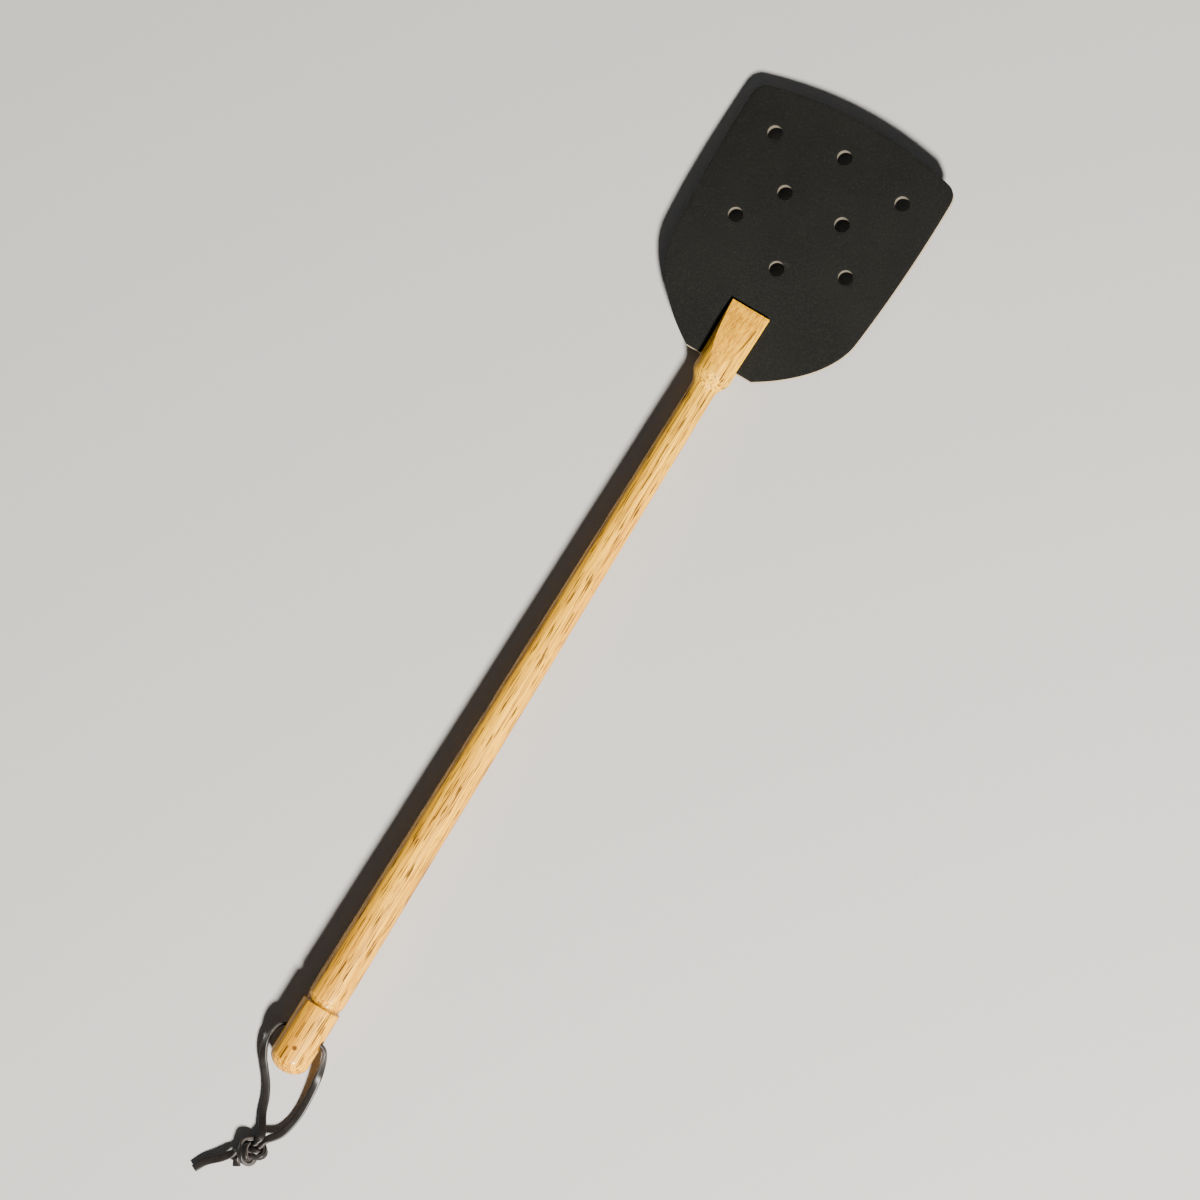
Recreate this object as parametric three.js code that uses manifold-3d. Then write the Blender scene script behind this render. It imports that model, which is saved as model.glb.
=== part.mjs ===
// A leather fly swatter lying on a flat surface: a turned oak handle, a punched leather flap
// held in a slot across the handle's head, and a leather hanging lace through the butt.
// Millimetres, +Z up. The handle's axis runs along +Y and the flap is at the +Y end.
// The origin is on the surface, below the middle of the swatter's length.

import Module from "manifold-3d";
import * as THREE from "three";
import { mergeVertices } from "three/addons/utils/BufferGeometryUtils.js";

const wasm = await Module();
wasm.setup();

// ---------------------------------------------------------------- driving dimensions

const CLEARANCE = 0.3; // between pieces that touch
const HANDLE_LENGTH = 414; // butt end to head tip
const FLAP_REACH = 102.3; // leather beyond the head tip
const FLAP_TAIL = 29.2; // leather beside and inside the head

const BUTT_Y = -(HANDLE_LENGTH + FLAP_REACH) / 2;
const TIP_Y = BUTT_Y + HANDLE_LENGTH;

// Handle: radii, and distances from the butt end
const GRIP_RADIUS = 9.6;
const AXIS_Z = GRIP_RADIUS; // the grip and the head both lie on the surface
const BUTT_DOME = 7.5;
const GROOVE_START = 34.7;
const GROOVE_END = 38.7;
const GROOVE_DEPTH = 1.3;
const SHAFT_RADIUS = 9.15;
const NECK_RADIUS = 6.1;
const NECK_START = 367.8;
const SHOULDER_START = 370.2;
const SHOULDER_END = 379.3;
const HEAD_RADIUS = 9.55;
const TIP_RADIUS = 10.3;
const HANDLE_SIDES = 48;
const DOME_STEPS = 7;
const SHOULDER_STEPS = 8;

// Head: a bevel above and below, and a slot for the leather in the middle
const BEVEL_TIP_HEIGHT = 3.5; // above and below the axis, at the tip
const BEVEL_SLOPE = Math.atan(0.19);

// Cross hole for the lace
const LACE_HOLE_RADIUS = 2.8;
const LACE_HOLE_ALONG = 19.4; // from the butt end
const HOLE_SIDES = 24;

// Flap leather
const LEATHER = 3.8;
const NOSE_RADIUS = LEATHER / 2; // the blade's inner edge, round about the flex axis
const FLEX_Y = TIP_Y + NOSE_RADIUS;
const VENT_RADIUS = 3.6;
const CURVE_STEPS = 10;

// Right half of the flap's outline: across, and beyond the head tip
const FLAP_FOOT = [17.8, -FLAP_TAIL];
const LOWER_CORNER = [[34.5, -19.2], [49.4, -4.1], [50.6, 11.5]];
const SIDE = [[54.9, 52.8], [54.6, 88.1]];
const UPPER_CORNER = [[54.5, 95.4], [47.8, 96.7]];
const TOP_EDGE_RADIUS = 205;

// Vent holes: across, and beyond the head tip; every one off the middle is mirrored
const VENTS = [[0, 83.7], [34.9, 78.0], [15.6, 55.7], [30.1, 35.1], [0, 22.7]];

// Brads that pin the leather in the slot, driven square to the lower bevel
const BRAD_ACROSS = 4.8;
const BRAD_FROM_TIP = 15;
const BRAD_LENGTH = 9;
const BRAD_SHANK_RADIUS = 0.6;
const BRAD_HEAD_RADIUS = 1.3;
const BRAD_HEAD_HEIGHT = 0.6;
const BRAD_POINT = 1.5;
const BRAD_SIDES = 16;

// Lace: across, from the butt end, and above the surface
const LACE_RADIUS = 1.5;
const LACE_SIDES = 8;
const LACE_STEP = 4; // between sections of the tube
const LEFT_LEG = [
  [7.2, -34.4, 4.6],
  [5, -29.4, 3.4],
  [1.6, -22.6, 2.2],
  [-1.2, -15.6, 1.8],
  [-4.3, -9.9, 2.3],
  [-8.2, -4.8, 3.3],
  [-11.7, -0.1, 4.6],
  [-13.9, 5.3, 6.1],
  [-14.3, 10.7, 7.4],
  [-13.4, 15.2, 8.6],
  [-11.8, 18.3, 9.4],
];
const IN_HOLE = [
  [-GRIP_RADIUS, LACE_HOLE_ALONG, AXIS_Z],
  [0, LACE_HOLE_ALONG, AXIS_Z],
  [GRIP_RADIUS, LACE_HOLE_ALONG, AXIS_Z],
];
const RIGHT_LEG = [
  [11.9, 18.3, 9.2],
  [13.5, 15, 7.9],
  [14.4, 11.1, 6.5],
  [15.6, 2.8, 4.3],
  [16.3, -7.5, 2.6],
  [16.2, -15, 2],
  [15.3, -21, 2.1],
  [13.7, -26.3, 2.9],
  [11.9, -30.6, 3.9],
  [10, -34.4, 4.6],
];
const LONG_TAIL = [
  [3.4, -43, 4.4],
  [-0.4, -46.2, 4],
  [-3.7, -49.4, 3.4],
  [-6.7, -52.3, 2.7],
  [-9.8, -55.5, 2.1],
  [-11.5, -58.6, 1.8],
  [-12.5, -60.8, 1.7],
];
const SHORT_TAIL = [
  [6.4, -43.8, 3.6],
  [5.3, -46.4, 3.2],
  [4.1, -48.8, 2.9],
];

// Overhand knot: the lump that the two legs are tied into
const KNOT_CENTRE = [7.4, -38.9, 4.8];
const KNOT_HALF_SIZE = [7.4, 7.2, 4.6];
const KNOT_SIDES = 24;
const KNOT_RINGS = 14;

// ---------------------------------------------------------------- materials

const OAK = new THREE.MeshStandardMaterial({ color: 0xc98a45, roughness: 0.35, metalness: 0 });
const FLAP_LEATHER = new THREE.MeshStandardMaterial({ color: 0x262624, roughness: 0.7, metalness: 0 });
const LACE_LEATHER = new THREE.MeshStandardMaterial({ color: 0x2a1e19, roughness: 0.5, metalness: 0 });
const STEEL = new THREE.MeshStandardMaterial({ color: 0x9a9a98, roughness: 0.35, metalness: 1 });

// ---------------------------------------------------------------- solids and meshes

// A closed geometry as a solid: shared corners merged, collapsed triangles dropped.
function solidFrom(geometry) {
  const bare = geometry.clone();
  bare.deleteAttribute("normal");
  bare.deleteAttribute("uv");
  const merged = mergeVertices(bare);
  const index = merged.index.array;
  const kept = [];
  for (let i = 0; i < index.length; i += 3) {
    const [a, b, c] = [index[i], index[i + 1], index[i + 2]];
    if (a !== b && b !== c && c !== a) {
      kept.push(a, b, c);
    }
  }
  return new wasm.Manifold(new wasm.Mesh({
    numProp: 3,
    vertProperties: new Float32Array(merged.attributes.position.array),
    triVerts: new Uint32Array(kept),
  }));
}

function geometryFrom(solid) {
  const mesh = solid.getMesh();
  const geometry = new THREE.BufferGeometry();
  geometry.setAttribute("position", new THREE.BufferAttribute(mesh.vertProperties, 3));
  geometry.setIndex(new THREE.BufferAttribute(mesh.triVerts, 1));
  geometry.computeVertexNormals();
  return geometry;
}

function named(name, solid, material) {
  const mesh = new THREE.Mesh(geometryFrom(solid), material);
  mesh.name = name;
  return mesh;
}

// A block between two corners.
function block(low, high) {
  const size = high.map((value, i) => value - low[i]);
  const geometry = new THREE.BoxGeometry(...size);
  geometry.translate(low[0] + size[0] / 2, low[1] + size[1] / 2, low[2] + size[2] / 2);
  return solidFrom(geometry);
}

// ---------------------------------------------------------------- handle

function quarterEllipse(radius, depth, steps) {
  const points = [];
  for (let i = 0; i <= steps; i += 1) {
    const angle = (i / steps) * (Math.PI / 2);
    points.push(new THREE.Vector2(radius * Math.sin(angle), depth * (1 - Math.cos(angle))));
  }
  points[0].x = 0;
  return points;
}

// The head's shoulder swells out of the neck in one S curve.
function shoulder() {
  const curve = new THREE.CubicBezierCurve(
    new THREE.Vector2(NECK_RADIUS, SHOULDER_START),
    new THREE.Vector2(NECK_RADIUS + 0.1, SHOULDER_START + 4),
    new THREE.Vector2(HEAD_RADIUS - 0.35, SHOULDER_END - 3.7),
    new THREE.Vector2(HEAD_RADIUS, SHOULDER_END),
  );
  return curve.getPoints(SHOULDER_STEPS);
}

// Half of the turned shape: radius, and distance from the butt end.
function turnedProfile() {
  return [
    ...quarterEllipse(GRIP_RADIUS, BUTT_DOME, DOME_STEPS),
    new THREE.Vector2(GRIP_RADIUS, GROOVE_START),
    new THREE.Vector2(GRIP_RADIUS - GROOVE_DEPTH, GROOVE_START + 0.9),
    new THREE.Vector2(GRIP_RADIUS - 0.9 * GROOVE_DEPTH, GROOVE_END - 1.5),
    new THREE.Vector2(SHAFT_RADIUS, GROOVE_END),
    new THREE.Vector2(NECK_RADIUS, NECK_START),
    ...shoulder(),
    new THREE.Vector2(TIP_RADIUS, HANDLE_LENGTH),
    new THREE.Vector2(0, HANDLE_LENGTH),
  ];
}

function turnedBlank() {
  const geometry = new THREE.LatheGeometry(turnedProfile(), HANDLE_SIDES);
  geometry.translate(0, BUTT_Y, AXIS_Z);
  return solidFrom(geometry);
}

// The wood that a bevel removes: side is 1 above the axis and -1 below it.
function bevelWaste(side) {
  const height = 20;
  const geometry = new THREE.BoxGeometry(4 * TIP_RADIUS, 120, height);
  geometry.translate(0, 0, (side * height) / 2);
  geometry.rotateX(-side * BEVEL_SLOPE);
  geometry.translate(0, TIP_Y, AXIS_Z + side * BEVEL_TIP_HEIGHT);
  return solidFrom(geometry);
}

function slotWaste() {
  const half = LEATHER / 2 + CLEARANCE;
  return block(
    [-2 * TIP_RADIUS, TIP_Y - FLAP_TAIL - CLEARANCE, AXIS_Z - half],
    [2 * TIP_RADIUS, TIP_Y + 10, AXIS_Z + half],
  );
}

function laceHoleWaste() {
  const geometry = new THREE.CylinderGeometry(LACE_HOLE_RADIUS, LACE_HOLE_RADIUS, 4 * GRIP_RADIUS, HOLE_SIDES);
  geometry.rotateZ(Math.PI / 2);
  geometry.translate(0, BUTT_Y + LACE_HOLE_ALONG, AXIS_Z);
  return solidFrom(geometry);
}

function handle() {
  const wood = turnedBlank()
    .subtract(bevelWaste(1))
    .subtract(bevelWaste(-1))
    .subtract(slotWaste())
    .subtract(laceHoleWaste())
    .subtract(bradRoom(-BRAD_ACROSS))
    .subtract(bradRoom(BRAD_ACROSS));
  return named("handle", wood, OAK);
}

// ---------------------------------------------------------------- brads

// Half of a brad's shape, head down: radius, and height above the underside of its head.
function bradProfile(grow) {
  const shank = BRAD_SHANK_RADIUS + grow;
  const head = BRAD_HEAD_RADIUS + grow;
  return [
    new THREE.Vector2(0, -2 * grow),
    new THREE.Vector2(head, -2 * grow),
    new THREE.Vector2(head, BRAD_HEAD_HEIGHT + grow),
    new THREE.Vector2(shank, BRAD_HEAD_HEIGHT + grow),
    new THREE.Vector2(shank, BRAD_LENGTH - BRAD_POINT + grow),
    new THREE.Vector2(0, BRAD_LENGTH + grow),
  ];
}

// Stands on the lower bevel, its head flush with the wood.
function bradSolid(across, grow) {
  const geometry = new THREE.LatheGeometry(bradProfile(grow), BRAD_SIDES);
  geometry.rotateX(Math.PI / 2 + BEVEL_SLOPE);
  const surface = AXIS_Z - BEVEL_TIP_HEIGHT - BRAD_FROM_TIP * Math.tan(BEVEL_SLOPE);
  geometry.translate(across, TIP_Y - BRAD_FROM_TIP, surface);
  return solidFrom(geometry);
}

function bradRoom(across) {
  return bradSolid(across, CLEARANCE);
}

function brad(name, across) {
  return named(name, bradSolid(across, 0), STEEL);
}

// ---------------------------------------------------------------- flap

function flapOutline() {
  const topCentre = FLAP_REACH - TOP_EDGE_RADIUS;
  const [shoulderX] = UPPER_CORNER[1];
  const topAngle = Math.acos(shoulderX / TOP_EDGE_RADIUS);
  const left = ([x, y]) => [-x, y];
  const shape = new THREE.Shape();
  shape.moveTo(...left(FLAP_FOOT));
  shape.lineTo(...FLAP_FOOT);
  shape.bezierCurveTo(...LOWER_CORNER.flat());
  shape.quadraticCurveTo(...SIDE.flat());
  shape.quadraticCurveTo(...UPPER_CORNER.flat());
  shape.absarc(0, topCentre, TOP_EDGE_RADIUS, topAngle, Math.PI - topAngle, false);
  shape.quadraticCurveTo(...left(UPPER_CORNER[0]), ...left(SIDE[1]));
  shape.quadraticCurveTo(...left(SIDE[0]), ...left(LOWER_CORNER[2]));
  shape.bezierCurveTo(...left(LOWER_CORNER[1]), ...left(LOWER_CORNER[0]), ...left(FLAP_FOOT));
  return shape;
}

function ventHole(across, beyond) {
  const hole = new THREE.Path();
  hole.absarc(across, beyond, VENT_RADIUS, 0, 2 * Math.PI, true);
  return hole;
}

function flapSheet() {
  const shape = flapOutline();
  for (const [across, beyond] of VENTS) {
    shape.holes.push(ventHole(across, beyond));
    if (across > 0) {
      shape.holes.push(ventHole(-across, beyond));
    }
  }
  const geometry = new THREE.ExtrudeGeometry(shape, {
    depth: LEATHER,
    bevelEnabled: false,
    curveSegments: CURVE_STEPS,
  });
  geometry.translate(0, TIP_Y, AXIS_Z - LEATHER / 2);
  return solidFrom(geometry);
}

// Everything beyond the flex axis, and a half-round nose on it.
function bladeRegion() {
  const beyond = new THREE.Shape();
  beyond.absarc(FLEX_Y, AXIS_Z, NOSE_RADIUS, Math.PI / 2, 1.5 * Math.PI, false);
  beyond.lineTo(FLEX_Y + 2 * FLAP_REACH, AXIS_Z - NOSE_RADIUS);
  beyond.lineTo(FLEX_Y + 2 * FLAP_REACH, AXIS_Z + NOSE_RADIUS);
  const width = 200;
  const geometry = new THREE.ExtrudeGeometry(beyond, {
    depth: width,
    bevelEnabled: false,
    curveSegments: CURVE_STEPS,
  });
  const across = new THREE.Matrix4().makeBasis(
    new THREE.Vector3(0, 1, 0),
    new THREE.Vector3(0, 0, 1),
    new THREE.Vector3(1, 0, 0),
  );
  geometry.applyMatrix4(across);
  geometry.translate(-width / 2, 0, 0);
  return solidFrom(geometry);
}

function flapBlade() {
  return named("flap_blade", flapSheet().intersect(bladeRegion()), FLAP_LEATHER);
}

// The leather inside the slot, with the two corners that stand beside the head.
function flapRoot() {
  const region = block(
    [-100, TIP_Y - 2 * FLAP_TAIL, AXIS_Z - LEATHER],
    [100, TIP_Y - CLEARANCE, AXIS_Z + LEATHER],
  );
  const leather = flapSheet()
    .intersect(region)
    .subtract(bradRoom(-BRAD_ACROSS))
    .subtract(bradRoom(BRAD_ACROSS));
  return named("flap_root", leather, FLAP_LEATHER);
}

// ---------------------------------------------------------------- lace

function laceTube(route) {
  const points = route.map(([x, along, z]) => new THREE.Vector3(x, BUTT_Y + along, z));
  const path = new THREE.CatmullRomCurve3(points, false, "centripetal");
  const section = new THREE.Shape();
  for (let i = 0; i < LACE_SIDES; i += 1) {
    const angle = (i / LACE_SIDES) * 2 * Math.PI;
    const [x, y] = [LACE_RADIUS * Math.cos(angle), LACE_RADIUS * Math.sin(angle)];
    if (i === 0) {
      section.moveTo(x, y);
    } else {
      section.lineTo(x, y);
    }
  }
  const steps = Math.max(2, Math.round(path.getLength() / LACE_STEP));
  return solidFrom(new THREE.ExtrudeGeometry(section, { steps, extrudePath: path }));
}

function knotSolid(grow) {
  const geometry = new THREE.SphereGeometry(1, KNOT_SIDES, KNOT_RINGS);
  geometry.scale(...KNOT_HALF_SIZE.map((half) => half + grow));
  const [x, along, z] = KNOT_CENTRE;
  geometry.translate(x, BUTT_Y + along, z);
  return solidFrom(geometry);
}

function laceKnot() {
  return named("lace_knot", knotSolid(0), LACE_LEATHER);
}

// A run of lace that stops just short of the knot.
function laceRun(name, route) {
  return named(name, laceTube(route).subtract(knotSolid(CLEARANCE)), LACE_LEATHER);
}

// ---------------------------------------------------------------- the swatter

const swatter = new THREE.Group();
swatter.add(handle());
swatter.add(brad("brad_left", -BRAD_ACROSS));
swatter.add(brad("brad_right", BRAD_ACROSS));
swatter.add(flapRoot());
swatter.add(flapBlade());
swatter.add(laceRun("lace_loop", [...LEFT_LEG, ...IN_HOLE, ...RIGHT_LEG]));
swatter.add(laceKnot());
swatter.add(laceRun("lace_tail_long", LONG_TAIL));
swatter.add(laceRun("lace_tail_short", SHORT_TAIL));

export default swatter;
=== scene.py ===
"""Looks of the leather fly swatter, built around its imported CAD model. Metres, +Z up."""

import math

import bmesh
import bpy
import numpy as np
from mathutils import Matrix, Vector


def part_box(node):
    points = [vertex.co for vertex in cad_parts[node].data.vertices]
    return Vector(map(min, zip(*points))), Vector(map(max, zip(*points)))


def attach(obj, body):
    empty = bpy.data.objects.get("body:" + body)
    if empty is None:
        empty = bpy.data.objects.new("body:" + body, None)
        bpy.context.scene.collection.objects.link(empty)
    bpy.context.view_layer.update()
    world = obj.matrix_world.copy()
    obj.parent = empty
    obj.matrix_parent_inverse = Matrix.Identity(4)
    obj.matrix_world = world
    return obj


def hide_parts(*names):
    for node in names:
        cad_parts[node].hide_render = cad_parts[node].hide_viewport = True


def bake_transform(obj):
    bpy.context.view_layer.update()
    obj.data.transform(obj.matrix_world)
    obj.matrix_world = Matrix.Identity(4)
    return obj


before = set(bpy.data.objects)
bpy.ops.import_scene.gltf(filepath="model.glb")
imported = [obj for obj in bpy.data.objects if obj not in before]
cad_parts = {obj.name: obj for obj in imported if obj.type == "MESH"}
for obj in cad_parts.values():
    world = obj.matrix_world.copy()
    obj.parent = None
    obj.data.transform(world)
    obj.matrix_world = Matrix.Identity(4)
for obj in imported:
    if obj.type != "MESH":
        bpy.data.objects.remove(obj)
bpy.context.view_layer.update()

MM = 0.001

# ---------------------------------------------------------------- the frame's places and sizes

handle_low, handle_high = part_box("handle")
root_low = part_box("flap_root")[0]
blade_low, blade_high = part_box("flap_blade")

BUTT_Y = handle_low.y
TIP_Y = handle_high.y
HANDLE_LENGTH = TIP_Y - BUTT_Y
AXIS_Z = (blade_low.z + blade_high.z) / 2
GRIP_RADIUS = AXIS_Z - handle_low.z
LEATHER = blade_high.z - blade_low.z
FLAP_REACH = blade_high.y - TIP_Y
FLAP_TAIL = TIP_Y - root_low.y

# Handle: radii, and distances from the butt end
BUTT_DOME = 7.5 * MM
GROOVE_START = 34.7 * MM
GROOVE_END = 38.7 * MM
SHAFT_RADIUS = 9.15 * MM
NECK_RADIUS = 6.1 * MM
NECK_START = 367.8 * MM
SHOULDER_START = 370.2 * MM
SHOULDER_END = 379.3 * MM
HEAD_RADIUS = 9.55 * MM
TIP_RADIUS = 10.3 * MM
BEVEL_TIP_HEIGHT = 3.5 * MM
BEVEL_SLOPE = math.atan(0.19)
LACE_HOLE_RADIUS = 2.8 * MM
LACE_HOLE_ALONG = 19.4 * MM

# ---------------------------------------------------------------- camera

CAMERA_PLACE = Vector((0.250, BUTT_Y + 0.200, AXIS_Z + 1.5))
CAMERA_TARGET = Vector((0.0109, BUTT_Y + 0.2619, AXIS_Z))
CAMERA_ROLL = math.radians(31.87)
VIEW_WIDTH = 0.5567  # what the camera takes in across the target


def make_camera():
    """1.5 m above the table, to the right of the swatter, which lies from lower left to upper right."""
    line = CAMERA_PLACE - CAMERA_TARGET
    back = line.normalized()
    ahead = Vector((-math.sin(CAMERA_ROLL), math.cos(CAMERA_ROLL), 0))
    right = ahead.cross(back).normalized()
    up = back.cross(right)
    data = bpy.data.cameras.new("camera")
    data.lens = data.sensor_width * line.length / VIEW_WIDTH
    camera = bpy.data.objects.new("camera", data)
    bpy.context.scene.collection.objects.link(camera)
    rotation = Matrix((right, up, back)).transposed().to_4x4()
    camera.matrix_world = Matrix.Translation(CAMERA_PLACE) @ rotation
    bpy.context.scene.camera = camera


make_camera()

# ---------------------------------------------------------------- node helpers


class Shader:
    """A material and short ways to add nodes to it."""

    def __init__(self, name):
        self.material = bpy.data.materials.new(name)
        self.material.use_nodes = True
        self.tree = self.material.node_tree
        self.bsdf = self.tree.nodes["Principled BSDF"]
        self.place = self.add("ShaderNodeTexCoord").outputs["Object"]

    def plug(self, value, socket):
        if isinstance(value, bpy.types.NodeSocket):
            self.tree.links.new(value, socket)
        else:
            socket.default_value = value

    def add(self, kind, inputs=None, **settings):
        node = self.tree.nodes.new(kind)
        for key, value in settings.items():
            setattr(node, key, value)
        for key, value in (inputs or {}).items():
            self.plug(value, node.inputs[key])
        return node

    def shader(self, **inputs):
        for key, value in inputs.items():
            self.plug(value, self.bsdf.inputs[key.replace("_", " ")])

    def stretch(self, x, y, z):
        """The place scaled along each axis, in cycles per metre."""
        node = self.add("ShaderNodeMapping", {"Vector": self.place, "Scale": (x, y, z)})
        return node.outputs["Vector"]

    def even(self, cycles):
        return self.stretch(cycles, cycles, cycles)

    def noise(self, vector, detail=2.0, rough=0.5):
        inputs = {"Vector": vector, "Scale": 1.0, "Detail": detail, "Roughness": rough}
        return self.add("ShaderNodeTexNoise", inputs).outputs["Fac"]

    def cells(self, vector):
        node = self.add("ShaderNodeTexVoronoi", {"Vector": vector, "Scale": 1.0}, feature="SMOOTH_F1")
        return node.outputs["Distance"]

    def math(self, operation, a, b=0.0):
        return self.add("ShaderNodeMath", {0: a, 1: b}, operation=operation).outputs[0]

    def plus(self, a, b):
        return self.math("ADD", a, b)

    def minus(self, a, b):
        return self.math("SUBTRACT", a, b)

    def times(self, a, b):
        return self.math("MULTIPLY", a, b)

    def between(self, value, low, high):
        """0 below low, 1 above high, smooth between them."""
        node = self.add(
            "ShaderNodeMapRange",
            {"Value": value, "From Min": low, "From Max": high},
            interpolation_type="SMOOTHSTEP",
        )
        return node.outputs["Result"]

    def blend(self, factor, a, b):
        node = self.add("ShaderNodeMix", {0: factor, 6: a, 7: b}, data_type="RGBA")
        return node.outputs[2]

    def bump(self, height, depth, strength):
        inputs = {"Height": height, "Distance": depth, "Strength": strength}
        return self.add("ShaderNodeBump", inputs).outputs["Normal"]


def colour(red, green, blue):
    return (red, green, blue, 1.0)


# ---------------------------------------------------------------- oak

RING_WIDTH = 2.9 * MM
RING_CENTRE = (-70 * MM, -12 * MM)  # (x, z)
RING_WANDER = 1.6 * MM
MARK_HALF_WIDTH = 0.5 * MM
MARK_END = 1 * MM  # a mark fades in and out over twice this
PIN_KNOT = (1.0 * MM, BUTT_Y + 13.0 * MM, AXIS_Z + GRIP_RADIUS)
PIN_KNOT_COLOUR = colour(0.055, 0.013, 0.006)


def early_wood(s, x, z):
    """1 in the porous first part of each yearly ring, 0 in the rest. The rings' centre is far to one side."""
    wander = s.noise(s.stretch(50, 6, 50), detail=2.0)
    sideways = s.plus(x, s.times(s.minus(wander, 0.5), RING_WANDER))
    across = s.math("POWER", s.minus(sideways, RING_CENTRE[0]), 2.0)
    down = s.math("POWER", s.minus(z, RING_CENTRE[1]), 2.0)
    radius = s.math("SQRT", s.plus(across, down))
    ring = s.math("FRACT", s.math("DIVIDE", radius, RING_WIDTH))
    return s.minus(1.0, s.between(ring, 0.1, 0.5))


def mark(s, x, along, start, end):
    """1 on a thin line along the grain. start and end are (across, along), with the end farther along."""
    lean = (end[0] - start[0]) / (end[1] - start[1])
    middle = s.plus(start[0], s.times(s.minus(along, start[1]), lean))
    away = s.math("ABSOLUTE", s.minus(x, middle))
    thin = s.minus(1.0, s.between(away, 0.7 * MARK_HALF_WIDTH, 1.2 * MARK_HALF_WIDTH))
    begun = s.between(along, start[1] - MARK_END, start[1] + MARK_END)
    ended = s.between(along, end[1] - MARK_END, end[1] + MARK_END)
    return s.times(thin, s.minus(begun, ended))


def groove_darkening(s, along):
    """1 in the deepest part of the turned ring groove, which is coloured darker."""
    stained = s.between(along, GROOVE_START, GROOVE_START + 0.6 * MM)
    clean = s.between(along, GROOVE_START + 0.9 * MM, GROOVE_END - 1.2 * MM)
    return s.minus(stained, clean)


def pin_knot(s):
    """1 in the small round knot near the butt."""
    measure = s.add("ShaderNodeVectorMath", {0: s.place, 1: PIN_KNOT}, operation="DISTANCE")
    return s.minus(1.0, s.between(measure.outputs["Value"], 0.8 * MM, 1.5 * MM))


def lacquer_coat(s, along, amount):
    """A clear coat that is worn away towards the head."""
    worn = s.between(along, 0.75 * HANDLE_LENGTH, NECK_START)
    s.shader(Coat_Weight=s.times(s.minus(1.1, worn), amount))
    s.bsdf.inputs["Coat Roughness"].default_value = 0.17
    s.bsdf.inputs["Coat IOR"].default_value = 1.35
    s.bsdf.inputs["Coat Tint"].default_value = colour(1.0, 0.88, 0.52)


def oak(name, light, mid, dark, pore, pore_length, pore_strength, lacquer, marks):
    """Ring-porous oak with its grain along Y."""
    s = Shader(name)
    split = s.add("ShaderNodeSeparateXYZ", {"Vector": s.place})
    x, y, z = split.outputs[0], split.outputs[1], split.outputs[2]
    along = s.minus(y, BUTT_Y)
    early = early_wood(s, x, z)
    # Broad bands, the rings, then fine fibres
    bands = s.between(s.noise(s.stretch(90, 5, 90), detail=3.0), 0.3, 0.7)
    base = s.blend(bands, light, mid)
    base = s.blend(s.times(early, 0.35), base, dark)
    fibre = s.noise(s.stretch(1700, 24, 1700), detail=3.0, rough=0.6)
    base = s.blend(s.times(s.between(fibre, 0.45, 0.66), 0.8), base, dark)
    # Open pores are short dark dashes, most of them in the early wood
    vessel = s.noise(s.stretch(1600, 0.5 / pore_length, 1600), detail=1.0)
    open_pore = s.between(s.plus(vessel, s.times(early, 0.045)), 0.60, 0.66)
    base = s.blend(s.times(open_pore, pore_strength), base, pore)
    for start, end, strength in marks:
        start, end = [(across_mm * MM, along_mm * MM) for across_mm, along_mm in (start, end)]
        base = s.blend(s.times(mark(s, x, along, start, end), strength), base, pore)
    # Darker in the deepest part of the ring groove
    base = s.blend(s.times(groove_darkening(s, along), 0.45), base, pore)
    base = s.blend(s.times(pin_knot(s), 0.9), base, PIN_KNOT_COLOUR)
    roughness = s.plus(0.48, s.times(open_pore, 0.3))
    relief = s.minus(s.times(fibre, 0.35), open_pore)
    s.shader(Base_Color=base, Roughness=roughness, Normal=s.bump(relief, 0.06 * MM, 0.6))
    s.bsdf.inputs["Specular IOR Level"].default_value = 0.14
    lacquer_coat(s, along, lacquer)
    return s.material


# ---------------------------------------------------------------- leather


def flap_leather():
    s = Shader("flap_leather")
    grain = s.cells(s.even(1300))
    fine = s.noise(s.even(3800), detail=3.0, rough=0.65)
    cloud = s.noise(s.even(38), detail=4.0, rough=0.6)
    base = s.blend(cloud, colour(0.0038, 0.0040, 0.0034), colour(0.0080, 0.0081, 0.0068))
    speck = s.noise(s.even(1600), detail=2.0, rough=0.7)
    base = s.blend(s.times(s.between(speck, 0.45, 0.75), 0.5), base, colour(0.021, 0.021, 0.018))
    roughness = s.plus(0.6, s.times(cloud, 0.2))
    relief = s.plus(s.times(grain, 0.8), s.times(fine, 0.5))
    s.shader(Base_Color=base, Roughness=roughness, Normal=s.bump(relief, 0.12 * MM, 0.8))
    s.bsdf.inputs["Specular IOR Level"].default_value = 0.14
    return s.material


def raw_edge(name, pale, shade):
    """The cut through a hide: matt and fibrous, in layers that follow the sheet."""
    s = Shader(name)
    layers = s.noise(s.stretch(700, 700, 2600), detail=3.0, rough=0.6)
    flecks = s.noise(s.even(2600), detail=2.0)
    base = s.blend(s.between(layers, 0.35, 0.68), pale, shade)
    base = s.blend(s.times(s.between(flecks, 0.55, 0.75), 0.35), base, colour(0.10, 0.07, 0.045))
    s.shader(Base_Color=base, Roughness=0.88, Normal=s.bump(flecks, 0.12 * MM, 0.7))
    return s.material


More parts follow.
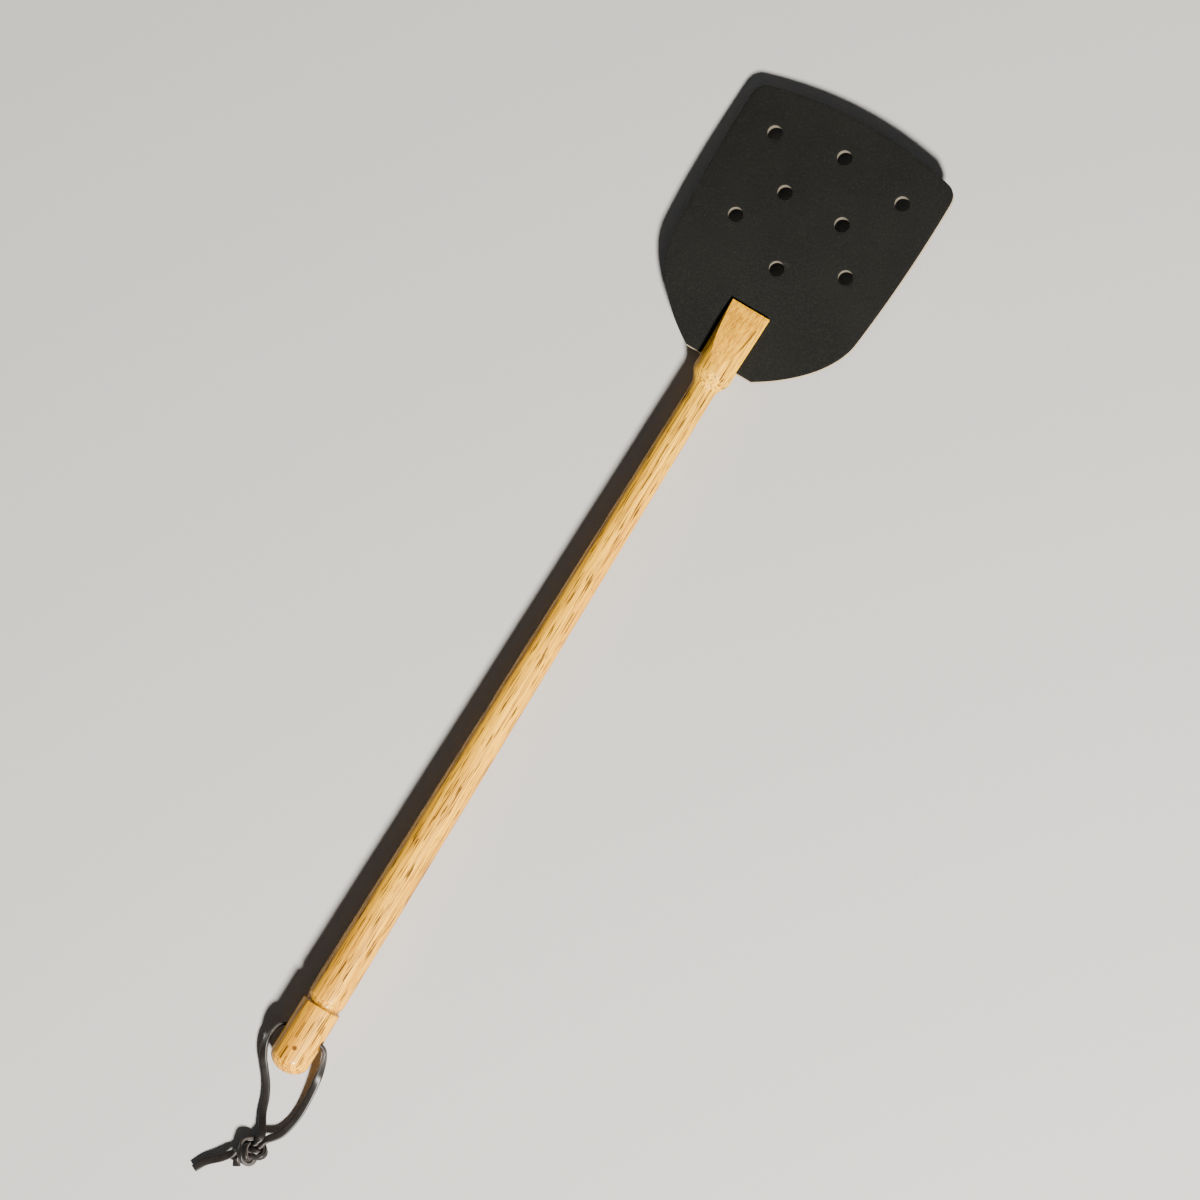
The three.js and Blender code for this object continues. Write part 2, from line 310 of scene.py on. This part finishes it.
def lace_leather():
    s = Shader("lace_leather")
    fine = s.noise(s.even(3000), detail=3.0, rough=0.6)
    worn = s.noise(s.even(260), detail=3.0, rough=0.6)
    base = s.blend(worn, colour(0.006, 0.0052, 0.0048), colour(0.014, 0.0115, 0.010))
    base = s.blend(s.times(s.between(fine, 0.55, 0.8), 0.4), base, colour(0.035, 0.029, 0.025))
    roughness = s.plus(0.28, s.times(worn, 0.2))
    s.shader(Base_Color=base, Roughness=roughness, Normal=s.bump(fine, 0.05 * MM, 0.5))
    s.bsdf.inputs["Specular IOR Level"].default_value = 0.3
    return s.material


def wire_steel():
    s = Shader("wire_steel")
    rub = s.noise(s.even(2600), detail=3.0)
    base = s.blend(rub, colour(0.42, 0.41, 0.39), colour(0.62, 0.61, 0.58))
    s.shader(Base_Color=base, Roughness=s.plus(0.26, s.times(rub, 0.2)), Metallic=1.0)
    return s.material


# Dark streaks in the wood, in millimetres: (across, from the butt end) of each end, and strength
TURNED_MARKS = [
    ((-2.6, 5.5), (-2.4, 12.5), 0.9),
    ((-0.2, 2.5), (-0.1, 8.5), 0.5),
    ((6.6, 7.0), (6.5, 11.5), 0.6),
    ((-1.4, 17.5), (-1.2, 26.0), 0.5),
    ((7.3, 24.0), (7.2, 28.5), 0.6),
]
SAWN_MARKS = [
    ((6.3, 391.0), (7.7, 406.0), 0.75),
    ((4.8, 384.0), (5.6, 390.0), 0.5),
]
TURNED_OAK = oak(
    "turned_oak",
    colour(0.93, 0.49, 0.010),
    colour(0.72, 0.33, 0.007),
    colour(0.27, 0.100, 0.008),
    colour(0.026, 0.012, 0.005),
    pore_length=7 * MM,
    pore_strength=0.9,
    lacquer=0.35,
    marks=TURNED_MARKS,
)
SAWN_OAK = oak(
    "sawn_oak",
    colour(0.90, 0.44, 0.008),
    colour(0.80, 0.36, 0.006),
    colour(0.42, 0.155, 0.008),
    colour(0.055, 0.026, 0.008),
    pore_length=1.6 * MM,
    pore_strength=0.3,
    lacquer=0.1,
    marks=SAWN_MARKS,
)
FLAP_LEATHER = flap_leather()
FLAP_EDGE = raw_edge("flap_edge", colour(0.42, 0.345, 0.24), colour(0.29, 0.225, 0.145))
# The vents' walls are painted darker than the flap's outer edge: painted shade inside the holes
VENT_EDGE_PAINTED_SHADE = raw_edge("vent_edge_painted_shade", colour(0.140, 0.120, 0.090), colour(0.095, 0.078, 0.054))
LACE_LEATHER = lace_leather()
LACE_EDGE = raw_edge("lace_edge", colour(0.060, 0.050, 0.044), colour(0.030, 0.025, 0.022))
LACE_CUT = raw_edge("lace_cut", colour(0.42, 0.30, 0.20), colour(0.26, 0.17, 0.11))
WIRE_STEEL = wire_steel()

# ---------------------------------------------------------------- mesh helpers


def mesh_object(name, shape, materials=()):
    """A Blender object from a bmesh, which is freed."""
    mesh = bpy.data.meshes.new(name)
    shape.to_mesh(mesh)
    shape.free()
    for material in materials:
        mesh.materials.append(material)
    made = bpy.data.objects.new(name, mesh)
    bpy.context.scene.collection.objects.link(made)
    return made


def paint(made, materials, which):
    """Gives each face the material whose number is which(face)."""
    made.data.materials.clear()
    for material in materials:
        made.data.materials.append(material)
    for face in made.data.polygons:
        face.material_index = int(which(face))


def smooth(made, angle):
    """Shades smoothly, with edges sharper than the angle in degrees left sharp."""
    made.data.shade_smooth()
    made.data.set_sharp_from_angle(angle=math.radians(angle))


def turned(name, profile, sides):
    """A solid of revolution about the handle's axis. profile holds (radius, distance from the butt)."""
    shape = bmesh.new()
    rings = []
    for radius, along in profile:
        if radius == 0:
            rings.append([shape.verts.new((0, BUTT_Y + along, AXIS_Z))])
            continue
        ring = []
        for i in range(sides):
            angle = 2 * math.pi * i / sides
            place = (radius * math.sin(angle), BUTT_Y + along, AXIS_Z + radius * math.cos(angle))
            ring.append(shape.verts.new(place))
        rings.append(ring)
    for a, b in zip(rings, rings[1:]):
        for i in range(sides):
            j = (i + 1) % sides
            corners = [a[i % len(a)], a[j % len(a)], b[j % len(b)], b[i % len(b)]]
            unique = list(dict.fromkeys(corners))
            shape.faces.new(unique)
    bmesh.ops.recalc_face_normals(shape, faces=shape.faces)
    return mesh_object(name, shape)


def block(name, low, high, materials=()):
    shape = bmesh.new()
    size = Vector(high) - Vector(low)
    middle = (Vector(high) + Vector(low)) / 2
    place = Matrix.Translation(middle) @ Matrix.Diagonal((*size, 1))
    bmesh.ops.create_cube(shape, size=1, matrix=place)
    return mesh_object(name, shape, materials)


def rod(name, radius, start, end, sides):
    shape = bmesh.new()
    start, end = Vector(start), Vector(end)
    turn = (end - start).to_track_quat("Z", "Y").to_matrix().to_4x4()
    bmesh.ops.create_cone(
        shape,
        cap_ends=True,
        segments=sides,
        radius1=radius,
        radius2=radius,
        depth=(end - start).length,
        matrix=Matrix.Translation((start + end) / 2) @ turn,
    )
    return mesh_object(name, shape)


def cut(made, *cutters, operation="DIFFERENCE"):
    """Cuts, or intersects, with each cutter in turn, and deletes the cutters."""
    for cutter in cutters:
        modifier = made.modifiers.new("cut", "BOOLEAN")
        modifier.object = cutter
        modifier.operation = operation
        modifier.solver = "EXACT"
        bpy.context.view_layer.update()
        graph = bpy.context.evaluated_depsgraph_get()
        result = bpy.data.meshes.new_from_object(made.evaluated_get(graph))
        made.modifiers.clear()
        made.data = result
        bpy.data.objects.remove(cutter)


def ease_edges(made, width, wanted):
    """Rounds the sharp edges for which wanted(edge) is true."""
    shape = bmesh.new()
    shape.from_mesh(made.data)
    bmesh.ops.remove_doubles(shape, verts=shape.verts, dist=0.01 * MM)
    sharp = math.radians(28)
    edges = []
    for edge in shape.edges:
        if len(edge.link_faces) == 2 and edge.calc_face_angle() > sharp and wanted(edge):
            edges.append(edge)
    bmesh.ops.bevel(
        shape,
        geom=edges,
        offset=width,
        offset_type="OFFSET",
        segments=2,
        profile=0.6,
        affect="EDGES",
        clamp_overlap=True,
    )
    shape.to_mesh(made.data)
    shape.free()


def ellipse_quarter(radius, depth, steps):
    """(radius, depth) points of a dome from its top."""
    points = []
    for i in range(steps + 1):
        angle = i / steps * math.pi / 2
        points.append((radius * math.sin(angle), depth * (1 - math.cos(angle))))
    return points


def bezier(a, b, c, d, steps):
    """Points of a cubic curve, without its first."""
    points = []
    for i in range(1, steps + 1):
        t = i / steps
        u = 1 - t
        weights = (u**3, 3 * u * u * t, 3 * u * t * t, t**3)
        points.append(tuple(np.dot(weights, (a, b, c, d))))
    return points


# ---------------------------------------------------------------- handle

HOLE_Y = BUTT_Y + LACE_HOLE_ALONG
HEAD_REACH = 40 * MM  # from the tip to behind both bevels
SANDED_REACH = 36 * MM  # from the tip to behind the slot
CUTTER_REACH = 30 * MM  # from the middle plane to outside the wood
WAVE_HEIGHT = 0.035 * MM
WAVES = 95  # radians per metre


def groove_profile():
    """The ring groove: a crisp lower lip, a round bottom, then a slower rise to the shaft."""
    deep = GRIP_RADIUS - 1.3 * MM
    return [
        (GRIP_RADIUS, GROOVE_START - 0.6 * MM),
        (GRIP_RADIUS - 0.06 * MM, GROOVE_START - 0.1 * MM),
        (GRIP_RADIUS - 0.4 * MM, GROOVE_START + 0.25 * MM),
        (deep + 0.15 * MM, GROOVE_START + 0.8 * MM),
        (deep, GROOVE_START + 1.3 * MM),
        (deep + 0.1 * MM, GROOVE_START + 2.0 * MM),
        (deep + 0.3 * MM, GROOVE_END - 1.2 * MM),
        (deep + 0.55 * MM, GROOVE_END - 0.5 * MM),
        (SHAFT_RADIUS - 0.06 * MM, GROOVE_END),
        (SHAFT_RADIUS, GROOVE_END + 0.6 * MM),
    ]


def grip_profile():
    points = ellipse_quarter(GRIP_RADIUS, BUTT_DOME, 20)
    points[0] = (0, 0)
    steps = 10
    for i in range(1, steps):
        along = BUTT_DOME + (GROOVE_START - 1 * MM - BUTT_DOME) * i / steps
        points.append((GRIP_RADIUS, along))
    return points


def shaft_profile():
    """The long taper from the groove to the neck, with the slight waves of hand sanding."""
    points = []
    steps = 60
    start = GROOVE_END + 1 * MM
    for i in range(1, steps + 1):
        t = i / steps
        along = start + (NECK_START - start) * t
        wave = WAVE_HEIGHT * math.sin(along * WAVES) * math.sin(math.pi * t)
        points.append((SHAFT_RADIUS + (NECK_RADIUS - SHAFT_RADIUS) * t + wave, along))
    return points


def head_profile():
    """The shoulder, the swelling head and its flat end."""
    points = [(NECK_RADIUS, SHOULDER_START)]
    points += bezier(
        (NECK_RADIUS, SHOULDER_START),
        (NECK_RADIUS + 0.1 * MM, SHOULDER_START + 4 * MM),
        (HEAD_RADIUS - 0.35 * MM, SHOULDER_END - 3.7 * MM),
        (HEAD_RADIUS, SHOULDER_END),
        16,
    )
    steps = 24
    for i in range(1, steps + 1):
        t = i / steps
        radius = HEAD_RADIUS + (TIP_RADIUS - HEAD_RADIUS) * t
        points.append((radius, SHOULDER_END + (HANDLE_LENGTH - SHOULDER_END) * t))
    points.append((0, HANDLE_LENGTH))
    return points


def bevel_waste(side):
    """The wood above or below the head's flat bevel. side is 1 above and -1 below."""
    waste = block("waste", (-50 * MM, -60 * MM, 0), (50 * MM, 60 * MM, 50 * MM))
    turn = Matrix.Rotation(-side * BEVEL_SLOPE, 4, "X")
    flip = Matrix.Identity(4) if side > 0 else Matrix.Rotation(math.pi, 4, "Y")
    move = Matrix.Translation((0, TIP_Y, AXIS_Z + side * BEVEL_TIP_HEIGHT))
    waste.data.transform(move @ turn @ flip)
    return waste


def slot_waste():
    """The sawn slot, a little wider and deeper than the leather that it holds."""
    half = LEATHER / 2 + 0.02 * MM
    low = (-CUTTER_REACH, TIP_Y - FLAP_TAIL - 0.1 * MM, AXIS_Z - half)
    high = (CUTTER_REACH, TIP_Y + 10 * MM, AXIS_Z + half)
    return block("waste", low, high)


def hole_waste():
    low = (-CUTTER_REACH, HOLE_Y, AXIS_Z)
    high = (CUTTER_REACH, HOLE_Y, AXIS_Z)
    return rod("waste", LACE_HOLE_RADIUS, low, high, sides=48)


def is_sawn(face):
    """True for the two flat faces of the head and the cheeks' end faces."""
    if face.center.y < TIP_Y - HEAD_REACH:
        return False
    on_bevel = abs(face.normal.z) > 0.9 and abs(abs(face.normal.y) - math.sin(BEVEL_SLOPE)) < 0.02
    on_end = face.normal.y > 0.98
    return on_bevel or on_end


def is_sanded(edge):
    """True for the edges that are eased: the head's, and those of the cross hole's two mouths."""
    middle = (edge.verts[0].co + edge.verts[1].co) / 2
    at_head = middle.y > TIP_Y - SANDED_REACH
    at_mouth = abs(middle.y - HOLE_Y) < 4 * MM and abs(middle.x) > 6 * MM
    return at_head or at_mouth


def make_handle():
    profile = grip_profile() + groove_profile() + shaft_profile() + head_profile()
    handle = turned("oak_handle", profile, 128)
    cut(handle, bevel_waste(1), bevel_waste(-1), slot_waste(), hole_waste())
    ease_edges(handle, 0.3 * MM, is_sanded)
    paint(handle, [TURNED_OAK, SAWN_OAK], is_sawn)
    smooth(handle, 32)
    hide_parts("handle")
    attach(handle, "handle")


make_handle()

# ---------------------------------------------------------------- flap

VENT_RADIUS = 3.6 * MM
# The right half of the flap, in millimetres across and beyond the head's tip
VENTS = [(0, 83.7), (34.9, 78.0), (15.6, 55.7), (30.1, 35.1), (0, 22.7)]
FLAP_FOOT = (17.8, -29.2)
LOWER_CORNER = [(34.5, -19.2), (49.4, -4.1), (50.6, 11.5)]
SIDE = [(54.9, 52.8), (54.6, 88.1)]
UPPER_CORNER = [(54.5, 95.4), (47.8, 96.7)]
TOP_EDGE_RADIUS = 205.0
TWIST = 0.07  # radians, at the far edge
MARGIN = 3 * MM  # what is cut away round the flap
BEND_CELL = 2.5 * MM  # the grid's spacing in the leather's two faces


def quadratic(a, b, c, steps):
    """Points of a quadratic curve, without its first."""
    first = tuple(p + 2 / 3 * (q - p) for p, q in zip(a, b))
    second = tuple(p + 2 / 3 * (q - p) for p, q in zip(c, b))
    return bezier(a, first, second, c, steps)


def flap_outline():
    """The right half from the foot to the top, then its mirror image. Millimetres from the head's tip."""
    right = [FLAP_FOOT]
    right += bezier(FLAP_FOOT, *LOWER_CORNER, 20)
    right += quadratic(LOWER_CORNER[-1], *SIDE, 14)
    right += quadratic(SIDE[-1], *UPPER_CORNER, 10)
    end = math.asin(UPPER_CORNER[-1][0] / TOP_EDGE_RADIUS)
    top_steps = 12
    centre = FLAP_REACH / MM - TOP_EDGE_RADIUS
    for i in range(1, top_steps):
        angle = end * (1 - i / top_steps)
        right.append((TOP_EDGE_RADIUS * math.sin(angle), centre + TOP_EDGE_RADIUS * math.cos(angle)))
    left = [(-x, y) for x, y in reversed(right)]
    return [*right, (0, FLAP_REACH / MM), *left]


def prism(name, outline, low, high):
    """The outline, in millimetres from the head's tip, raised from low to high."""
    shape = bmesh.new()
    bottom = [shape.verts.new((x * MM, TIP_Y + y * MM, low)) for x, y in outline]
    top = [shape.verts.new((x * MM, TIP_Y + y * MM, high)) for x, y in outline]
    shape.faces.new(bottom[::-1])
    shape.faces.new(top)
    for i in range(len(outline)):
        j = (i + 1) % len(outline)
        shape.faces.new((bottom[i], bottom[j], top[j], top[i]))
    return mesh_object(name, shape)


def slab(name, low, high):
    """A thin block whose two faces are an even grid, so that it can bend."""
    shape = bmesh.new()
    across = round((high[0] - low[0]) / BEND_CELL)
    along = round((high[1] - low[1]) / BEND_CELL)
    bmesh.ops.create_grid(shape, x_segments=across, y_segments=along, size=0.5)
    size = Vector(high) - Vector(low)
    for vert in shape.verts:
        vert.co.x = low[0] + (vert.co.x + 0.5) * size.x
        vert.co.y = low[1] + (vert.co.y + 0.5) * size.y
        vert.co.z = low[2]
    made = bmesh.ops.extrude_face_region(shape, geom=shape.faces[:])
    for item in made["geom"]:
        if isinstance(item, bmesh.types.BMVert):
            item.co.z = high[2]
    bmesh.ops.recalc_face_normals(shape, faces=shape.faces)
    return mesh_object(name, shape)


def twist(made):
    """The leather has dried slightly twisted: its right side lies higher than its left."""
    for vert in made.data.vertices:
        t = min(max((vert.co.y - TIP_Y) / FLAP_REACH, 0), 1)
        angle = TWIST * t * t * (3 - 2 * t)
        x, up = vert.co.x, vert.co.z - AXIS_Z
        vert.co.x = x * math.cos(angle) - up * math.sin(angle)
        vert.co.z = AXIS_Z + x * math.sin(angle) + up * math.cos(angle)


def punch_vents(flap, low_z, high_z):
    """Both halves' vents, those on the middle line once."""
    for across, beyond in VENTS:
        for side in sorted({across, -across}):
            x, y = side * MM, TIP_Y + beyond * MM
            cut(flap, rod("punch", VENT_RADIUS, (x, y, low_z), (x, y, high_z), sides=40))


def is_rim(edge):
    """True for an edge between a flat face of the leather and a cut wall."""
    flat = [abs(face.normal.z) > 0.7 for face in edge.link_faces]
    return flat[0] != flat[1]


def flap_material(face):
    """0 for the leather's two faces, 1 for its outer edge, 2 for the wall of a vent."""
    if abs(face.normal.z) >= 0.5:
        return 0
    place = face.center
    for across, beyond in VENTS:
        if math.hypot(abs(place.x) - across * MM, place.y - TIP_Y - beyond * MM) < 1.2 * VENT_RADIUS:
            return 2
    return 1


def make_flap():
    low_z = AXIS_Z - LEATHER / 2
    high_z = AXIS_Z + LEATHER / 2
    low = (blade_low.x - MARGIN, root_low.y - MARGIN, low_z)
    high = (blade_high.x + MARGIN, blade_high.y + MARGIN, high_z)
    flap = slab("leather_flap", low, high)
    cut(flap, prism("outline", flap_outline(), low_z - MARGIN, high_z + MARGIN), operation="INTERSECT")
    punch_vents(flap, low_z - MARGIN, high_z + MARGIN)
    ease_edges(flap, 0.25 * MM, is_rim)
    paint(flap, [FLAP_LEATHER, FLAP_EDGE, VENT_EDGE_PAINTED_SHADE], flap_material)
    smooth(flap, 40)
    twist(flap)
    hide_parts("flap_root", "flap_blade")
    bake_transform(flap)


make_flap()

# ---------------------------------------------------------------- lace

LACE_WIDTH = 3.7 * MM
LACE_THICKNESS = 1.9 * MM

# Each leg from the cross hole to the knot, and each tail from the knot, without the places inside the knot.
# Millimetres across, from the butt end, and above the surface.
LEFT_LEG = [
    (-11.8, 18.3, 9.4),
    (-13.4, 15.2, 8.6),
    (-14.3, 10.7, 7.4),
    (-13.9, 5.3, 6.1),
    (-11.7, -0.1, 4.6),
    (-8.2, -4.8, 3.3),
    (-4.3, -9.9, 2.3),
    (-1.2, -15.6, 1.8),
    (1.6, -22.6, 2.2),
]
RIGHT_LEG = [
    (11.9, 18.3, 9.2),
    (13.5, 15.0, 7.9),
    (14.4, 11.1, 6.5),
    (15.6, 2.8, 4.3),
    (16.3, -7.5, 2.6),
    (16.2, -15.0, 2.0),
    (15.3, -21.0, 2.1),
    (13.7, -26.3, 2.9),
]
LONG_TAIL = [
    (-3.7, -49.4, 3.4),
    (-6.7, -52.3, 2.7),
    (-9.8, -55.5, 2.1),
    (-11.5, -58.6, 1.8),
    (-12.5, -60.8, 1.7),
]
SHORT_TAIL = [
    (4.1, -48.8, 2.9),
]
HOLE_CENTRE = np.array((0, HOLE_Y, AXIS_Z))
KNOT_CENTRE = np.array((6.2 * MM, BUTT_Y - 38.8 * MM, 4.8 * MM))
KNOT_REACH = 9 * MM
KNOT_TURN = math.radians(61)
PATH_STEP = 0.5 * MM


def through(points, steps):
    """A Catmull-Rom curve through the points."""
    p = np.asarray(points, float)
    p = np.vstack([2 * p[0] - p[1], p, 2 * p[-1] - p[-2]])
    t = np.linspace(0, 1, steps, endpoint=False)[:, None]
    runs = []
    for a, b, c, d in zip(p, p[1:], p[2:], p[3:]):
        square = 2 * a - 5 * b + 4 * c - d
        cube = 3 * b - a - 3 * c + d
        runs.append(b + ((c - a) * t + square * t**2 + cube * t**3) / 2)
    return np.vstack([*runs, p[-2][None]])


def evenly(points, step):
    """The same line with points at an even distance."""
    travelled = np.r_[0, np.cumsum(np.linalg.norm(np.diff(points, axis=0), axis=1))]
    wanted = np.linspace(0, travelled[-1], round(travelled[-1] / step) + 1)
    return np.stack([np.interp(wanted, travelled, points[:, k]) for k in range(3)], axis=1)


def unit(vectors):
    return vectors / np.linalg.norm(vectors, axis=1, keepdims=True)


# One loose overhand knot, in millimetres, tied from +X to -X; the lace's two strands run side by side in it
LOOSE_KNOT = [
    (16, -1.5, 0),
    (10, -2, 4),
    (0, -10, -4),
    (-9, -15, 0),
    (-14, -9, 3),
    (-9, -1, 4),
    (0, 3, 0),
    (9, -1, -4),
    (14, -9, -3),
    (9, -15, 0),
    (0, -10, 4),
    (-10, -2, -4),
    (-16, -1.5, 0),
]
STRAND = 2.55  # a strand's thickness
STEP = 1.25  # between the points of a strand
BESIDE = 0.55  # from the knot's middle line to each strand, in strand thicknesses
TIGHTENING_ROUNDS = 420
CORE_REACH = 6  # from the knot's middle, along it, to where the strands leave it


def push_apart(strands, rounds):
    """Moves touching stretches of the strands until they are a strand's thickness apart."""
    first = len(strands[0])
    points = np.vstack(strands)
    count = len(points)
    strand = (np.arange(count) >= first).astype(int)
    place = np.where(strand == 0, np.arange(count), np.arange(count) - first)
    # Points this near along one strand are always close, so they aren't pushed
    neighbours = math.ceil(1.7 * STRAND / STEP)
    close = (strand[:, None] == strand[None]) & (abs(place[:, None] - place[None]) <= neighbours)
    pairs = np.triu(~close, 1)
    held = [0, first - 1, first, count - 1]
    for _ in range(rounds):
        gap = points[:, None] - points[None]
        distance = np.sqrt((gap**2).sum(2))
        i, j = np.where(pairs & (distance < STRAND))
        push = gap[i, j] * ((STRAND / distance[i, j] - 1) / 2)[:, None]
        total = np.zeros_like(points)
        touches = np.zeros(count)
        for index, sign in ((i, 1), (j, -1)):
            np.add.at(total, index, sign * push)
            np.add.at(touches, index, 1)
        # A point with several touches moves less for each, which keeps it steady
        total /= np.maximum(1, 0.55 * touches)[:, None]
        total[held] = 0
        points = points + total
    return [points[:first], points[first:]]


def tighten():
    """Pulls the loose knot tight: each round shortens the strands and keeps them from passing through."""
    line = evenly(through(LOOSE_KNOT, 20), STEP)
    along = unit(np.gradient(line, axis=0))
    beside = unit(np.cross(along, (0, 0, 1.0))) * BESIDE * STRAND
    strands = [line + beside, line - beside]
    for count in range(TIGHTENING_ROUNDS):
        pull = 0.35 if count < 0.85 * TIGHTENING_ROUNDS else 0.15
        for strand in strands:
            strand[1:-1] += pull * ((strand[:-2] + strand[2:]) / 2 - strand[1:-1])
        if count % 5 == 0:
            strands = [evenly(strand, STEP) for strand in strands]
        strands = push_apart(strands, 3)
    return push_apart(strands, 20)


def knot_strands():
    """The two tight strands, in metres, turned and moved to where the knot lies."""
    turn = np.array(Matrix.Rotation(KNOT_TURN, 3, "Z"))
    left, right = tighten()
    core = np.vstack([left, right])
    core = core[abs(core[:, 0]) < CORE_REACH]
    middle = (core.min(0) + core.max(0)) / 2
    return [((strand - middle) @ turn.T) * MM + KNOT_CENTRE for strand in (left, right)]


def settle_normals(path, wanted, weight):
    """The flat side's direction along the lace: near what is wanted, square to the line, and smooth."""
    along = unit(np.gradient(path, axis=0))

    def square(vectors):
        return unit(vectors - (vectors * along).sum(1, keepdims=True) * along)

    normal = square(wanted)
    for i in range(1, len(normal)):
        if normal[i] @ normal[i - 1] < 0:
            normal[i] *= -1
            wanted[i] *= -1
    smoothing_rounds = 120
    for _ in range(smoothing_rounds):
        mean = normal.copy()
        mean[1:-1] = (normal[:-2] + normal[2:]) / 2
        normal = square(mean + weight[:, None] * wanted)
    return along, normal


def squared(value):
    """A sine or cosine pushed outward, which turns a circle into a rounded square."""
    return math.copysign(abs(value) ** 0.45, value)


def flat_section():
    """Points round a flat section with well-rounded edges, each within 1 of the middle."""
    sides = 20
    angles = [2 * math.pi * (i + 0.5) / sides for i in range(sides)]
    return [(squared(math.cos(angle)), squared(math.sin(angle))) for angle in angles]


def section_rings(shape, path, along, normal, width, thickness):
    """One ring of corners round each point of the path."""
    side = np.cross(along, normal)
    rings = []
    for i, point in enumerate(path):
        ring = []
        for across, up in flat_section():
            place = point + side[i] * across * width[i] / 2 + normal[i] * up * thickness[i] / 2
            ring.append(shape.verts.new(place))
        rings.append(ring)
    return rings


def sweep(name, path, along, normal, width, thickness):
    """A flat lace along the path. Its narrow edges and its cut end have materials of their own."""
    shape = bmesh.new()
    rings = section_rings(shape, path, along, normal, width, thickness)
    section = flat_section()
    count = len(section)
    for a, b in zip(rings, rings[1:]):
        for k in range(count):
            m = (k + 1) % count
            face = shape.faces.new((a[k], a[m], b[m], b[k]))
            narrow = min(abs(section[k][0]), abs(section[m][0])) > 0.97
            face.material_index = 1 if narrow else 0
    shape.faces.new(rings[0][::-1]).material_index = 2
    shape.faces.new(rings[-1]).material_index = 2
    bmesh.ops.recalc_face_normals(shape, faces=shape.faces)
    made = mesh_object(name, shape, [LACE_LEATHER, LACE_EDGE, LACE_CUT])
    smooth(made, 50)
    return made


def route(points):
    """The places of a leg's or a tail's points, in metres."""
    return np.array([(x * MM, BUTT_Y + along * MM, z * MM) for x, along, z in points])


def away_from(path, place):
    return np.linalg.norm(path - place, axis=1)


def lace_path(side, leg, strand, tail):
    """From the middle of the cross hole, down one leg, through the knot, to a cut end."""
    in_hole = [HOLE_CENTRE + (side * part * GRIP_RADIUS, 0, 0) for part in (0, 0.5, 1)]
    inside = strand[away_from(strand, KNOT_CENTRE) < KNOT_REACH]
    line = np.vstack([*in_hole, route(leg), inside[::2], route(tail)])
    path = evenly(through(line, 8), PATH_STEP)
    smoothing_rounds = 14
    for _ in range(smoothing_rounds):
        path[1:-1] += ((path[:-2] + path[2:]) / 2 - path[1:-1]) / 2
    return path


def lace_normals(path, side, knotted):
    """Flat on the surface along the legs, on edge at the cross hole, facing outward in the knot's turns."""
    on_edge_reach, fade = 24 * MM, 10 * MM
    near_hole = np.clip((on_edge_reach - away_from(path, HOLE_CENTRE)) / fade, 0, 1)[:, None]
    flat = np.array((0, 0, 1.0))
    on_edge = -side * np.cross(np.gradient(path, axis=0), flat)
    bend = np.gradient(np.gradient(path, axis=0), axis=0)
    outward = -bend / np.maximum(np.linalg.norm(bend, axis=1, keepdims=True), 1e-9)
    wanted = flat * (1 - near_hole) + unit(on_edge) * near_hole
    wanted = wanted * (1 - knotted[:, None]) + outward * knotted[:, None]
    return settle_normals(path, unit(wanted + 1e-6), 0.02 + 0.03 * knotted)


def make_half_lace(name, side, leg, strand, tail, nodes):
    path = lace_path(side, leg, strand, tail)
    fade = 4 * MM
    knotted = np.clip((KNOT_REACH + 1 * MM - away_from(path, KNOT_CENTRE)) / fade, 0, 1)
    along, normal = lace_normals(path, side, knotted)
    # The lace is squeezed narrower and thicker in the knot
    width = LACE_WIDTH * (1 - 0.24 * knotted)
    thickness = LACE_THICKNESS * (1 + 0.2 * knotted)
    lace = sweep(name, path, along, normal, width, thickness)
    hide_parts(*nodes)
    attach(lace, "lace")


left_strand, right_strand = knot_strands()
make_half_lace("lace_left", -1, LEFT_LEG, left_strand, LONG_TAIL, ["lace_loop", "lace_tail_long"])
make_half_lace("lace_right", 1, RIGHT_LEG, right_strand, SHORT_TAIL, ["lace_knot", "lace_tail_short"])

# ---------------------------------------------------------------- brads

for node in ("brad_left", "brad_right"):
    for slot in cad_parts[node].material_slots:
        slot.material = WIRE_STEEL

# ---------------------------------------------------------------- floor and light

FLOOR_HALF = 12.0
FLOOR_TOP = -0.1 * MM
FLOOR_BOTTOM = -20 * MM
KEY_DIRECTION = (0.62, -0.43, 0.67)
KEY_DISTANCE = 2.6
KEY_SIZE = 0.36  # across the soft box
KEY_WATTS = 305
KEY_COLOUR = (1.0, 0.965, 0.90)
WORLD_COLOUR = colour(0.93, 0.95, 1.0)
WORLD_STRENGTH = 0.10


def make_floor():
    s = Shader("floor")
    base = s.blend(s.noise(s.even(900), detail=2.0), colour(0.425, 0.42, 0.412), colour(0.455, 0.45, 0.44))
    s.shader(Base_Color=base, Roughness=0.9)
    low = (-FLOOR_HALF, -FLOOR_HALF, FLOOR_BOTTOM)
    high = (FLOOR_HALF, FLOOR_HALF, FLOOR_TOP)
    block("floor", low, high, [s.material])


def make_key_light():
    """A soft box to the lower right of the swatter, which sets the shadows' direction."""
    data = bpy.data.lights.new("key", "AREA")
    data.shape = "DISK"
    data.size = KEY_SIZE
    data.color = KEY_COLOUR
    data.energy = KEY_WATTS
    light = bpy.data.objects.new("key", data)
    bpy.context.scene.collection.objects.link(light)
    towards = Vector(KEY_DIRECTION).normalized()
    turn = towards.to_track_quat("Z", "Y").to_matrix().to_4x4()
    light.matrix_world = Matrix.Translation(towards * KEY_DISTANCE) @ turn


def make_fill_light():
    world = bpy.data.worlds.new("studio")
    world.use_nodes = True
    background = world.node_tree.nodes["Background"]
    background.inputs["Color"].default_value = WORLD_COLOUR
    background.inputs["Strength"].default_value = WORLD_STRENGTH
    bpy.context.scene.world = world


make_floor()
make_key_light()
make_fill_light()
